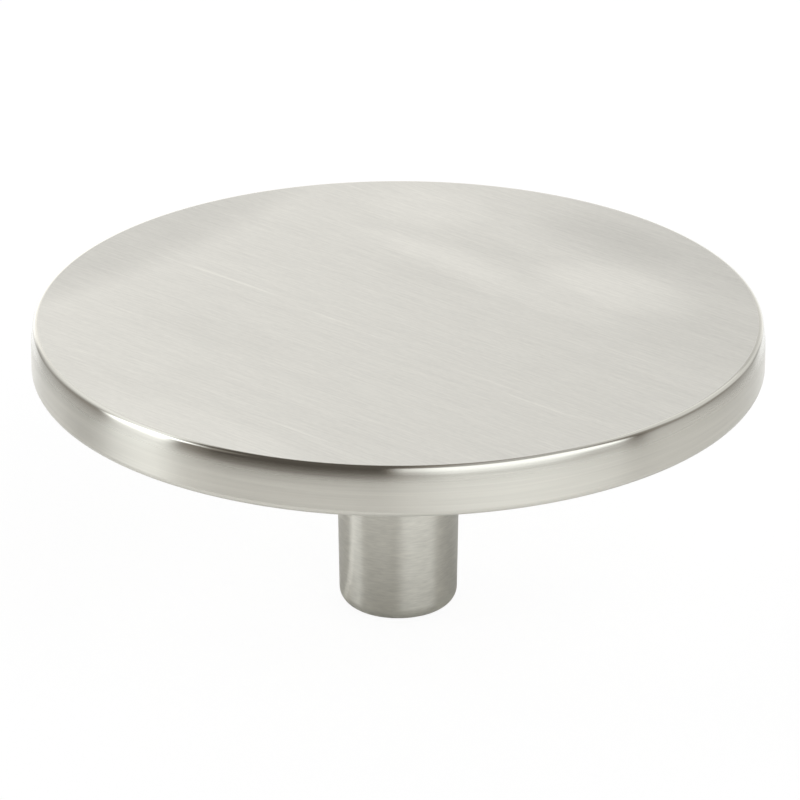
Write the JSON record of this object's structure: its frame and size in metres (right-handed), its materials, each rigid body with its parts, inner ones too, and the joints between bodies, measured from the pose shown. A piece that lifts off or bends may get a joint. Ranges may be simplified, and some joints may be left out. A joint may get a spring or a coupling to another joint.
{
  "type": "cabinet knob",
  "caption": "Round flat disc knob on a slim, slightly tapered stem, in brushed nickel-coloured metal, with a blind tapped hole in the foot.",
  "frame": {"origin": "centre of the foot, where the stem meets the door or drawer front", "axes": "+Z along the stem, away from the door, to the flat face; +X along the straight brushing of the face"},
  "size_m": [0.06, 0.06, 0.0254],
  "materials": {
    "brushed_nickel": "satin nickel: straight fine brushing on the face, brushed round the rim and the stem, polished edge between face and rim"
  },
  "bodies": {
    "root": {"knob": "brushed_nickel"}
  },
  "joints": []
}
